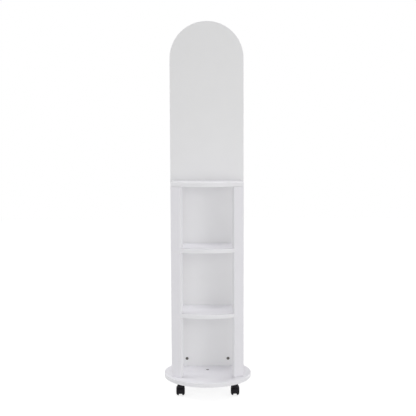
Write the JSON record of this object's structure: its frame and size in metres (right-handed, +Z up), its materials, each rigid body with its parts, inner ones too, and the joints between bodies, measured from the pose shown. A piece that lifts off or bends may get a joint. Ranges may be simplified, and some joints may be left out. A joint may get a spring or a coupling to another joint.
{
  "type": "rolling mirror with shelves",
  "caption": "Arched full-length mirror board on a round base with swivel casters, with curved open shelves and slanted posts on its back.",
  "frame": {"origin": "on the floor under the middle of the round base board", "axes": "+Z up, the shelves face -Y, the mirror faces +Y"},
  "size_m": [0.354, 0.354, 1.5014],
  "materials": {
    "white_board": "smooth white laminate, satin",
    "mirror": "silvered glass, polished",
    "foam_tape": "white foam",
    "beech": "plain beech",
    "dark_zinc": "dark cast zinc",
    "steel": "zinc-plated",
    "black_plastic": "black moulded, satin",
    "black_tread": "black moulded, matte"
  },
  "bodies": {
    "frame": {"base_board": "white_board", "back_panel": "white_board", "top_board": "white_board", "upper_shelf": "white_board", "lower_shelf": "white_board", "left_post": "white_board", "right_post": "white_board", "mirror_glass": "mirror", "left_mirror_tape": "foam_tape", "right_mirror_tape": "foam_tape", "left_cam": "dark_zinc", "right_cam": "dark_zinc", "left_cam_bolt": "steel", "right_cam_bolt": "steel", "base_bolt": "dark_zinc", "base_nut": "steel", "top_board_left_panel_dowel": "beech", "upper_shelf_left_panel_dowel": "beech", "upper_shelf_left_post_dowel": "beech", "lower_shelf_left_panel_dowel": "beech", "lower_shelf_left_post_dowel": "beech", "left_post_foot_dowel": "beech", "left_post_top_dowel": "beech", "top_board_right_panel_dowel": "beech", "upper_shelf_right_panel_dowel": "beech", "upper_shelf_right_post_dowel": "beech", "lower_shelf_right_panel_dowel": "beech", "lower_shelf_right_post_dowel": "beech", "right_post_foot_dowel": "beech", "right_post_top_dowel": "beech", "front_left_caster_socket": "steel", "front_left_caster_stem": "steel", "front_right_caster_socket": "steel", "front_right_caster_stem": "steel", "rear_left_caster_socket": "steel", "rear_left_caster_stem": "steel", "rear_right_caster_socket": "steel", "rear_right_caster_stem": "steel"},
    "front_left_caster": {"front_left_caster_hood": "black_plastic", "front_left_caster_axle": "steel"},
    "front_left_caster_left_wheel": {"front_left_caster_left_wheel": "black_tread"},
    "front_left_caster_right_wheel": {"front_left_caster_right_wheel": "black_tread"},
    "front_right_caster": {"front_right_caster_hood": "black_plastic", "front_right_caster_axle": "steel"},
    "front_right_caster_left_wheel": {"front_right_caster_left_wheel": "black_tread"},
    "front_right_caster_right_wheel": {"front_right_caster_right_wheel": "black_tread"},
    "rear_left_caster": {"rear_left_caster_hood": "black_plastic", "rear_left_caster_axle": "steel"},
    "rear_left_caster_left_wheel": {"rear_left_caster_left_wheel": "black_tread"},
    "rear_left_caster_right_wheel": {"rear_left_caster_right_wheel": "black_tread"},
    "rear_right_caster": {"rear_right_caster_hood": "black_plastic", "rear_right_caster_axle": "steel"},
    "rear_right_caster_left_wheel": {"rear_right_caster_left_wheel": "black_tread"},
    "rear_right_caster_right_wheel": {"rear_right_caster_right_wheel": "black_tread"}
  },
  "joints": [
    {"name": "front_left_caster_swivel", "type": "hinge", "parent": "frame", "child": "front_left_caster", "pos_m": [-0.10924, -0.09836, 0.05808], "axis": [0, 0, 1], "continuous": true},
    {"name": "front_left_caster_left_wheel_spin", "type": "hinge", "parent": "front_left_caster", "child": "front_left_caster_left_wheel", "pos_m": [-0.10924, -0.08436, 0.01888], "axis": [1, 0, 0], "continuous": true},
    {"name": "front_left_caster_right_wheel_spin", "type": "hinge", "parent": "front_left_caster", "child": "front_left_caster_right_wheel", "pos_m": [-0.10924, -0.08436, 0.01888], "axis": [1, 0, 0], "continuous": true},
    {"name": "front_right_caster_swivel", "type": "hinge", "parent": "frame", "child": "front_right_caster", "pos_m": [0.10924, -0.09836, 0.05808], "axis": [0, 0, 1], "continuous": true},
    {"name": "front_right_caster_left_wheel_spin", "type": "hinge", "parent": "front_right_caster", "child": "front_right_caster_left_wheel", "pos_m": [0.10924, -0.08436, 0.01888], "axis": [1, 0, 0], "continuous": true},
    {"name": "front_right_caster_right_wheel_spin", "type": "hinge", "parent": "front_right_caster", "child": "front_right_caster_right_wheel", "pos_m": [0.10924, -0.08436, 0.01888], "axis": [1, 0, 0], "continuous": true},
    {"name": "rear_left_caster_swivel", "type": "hinge", "parent": "frame", "child": "rear_left_caster", "pos_m": [-0.10924, 0.09836, 0.05808], "axis": [0, 0, 1], "continuous": true},
    {"name": "rear_left_caster_left_wheel_spin", "type": "hinge", "parent": "rear_left_caster", "child": "rear_left_caster_left_wheel", "pos_m": [-0.10924, 0.11236, 0.01888], "axis": [1, 0, 0], "continuous": true},
    {"name": "rear_left_caster_right_wheel_spin", "type": "hinge", "parent": "rear_left_caster", "child": "rear_left_caster_right_wheel", "pos_m": [-0.10924, 0.11236, 0.01888], "axis": [1, 0, 0], "continuous": true},
    {"name": "rear_right_caster_swivel", "type": "hinge", "parent": "frame", "child": "rear_right_caster", "pos_m": [0.10924, 0.09836, 0.05808], "axis": [0, 0, 1], "continuous": true},
    {"name": "rear_right_caster_left_wheel_spin", "type": "hinge", "parent": "rear_right_caster", "child": "rear_right_caster_left_wheel", "pos_m": [0.10924, 0.11236, 0.01888], "axis": [1, 0, 0], "continuous": true},
    {"name": "rear_right_caster_right_wheel_spin", "type": "hinge", "parent": "rear_right_caster", "child": "rear_right_caster_right_wheel", "pos_m": [0.10924, 0.11236, 0.01888], "axis": [1, 0, 0], "continuous": true}
  ]
}
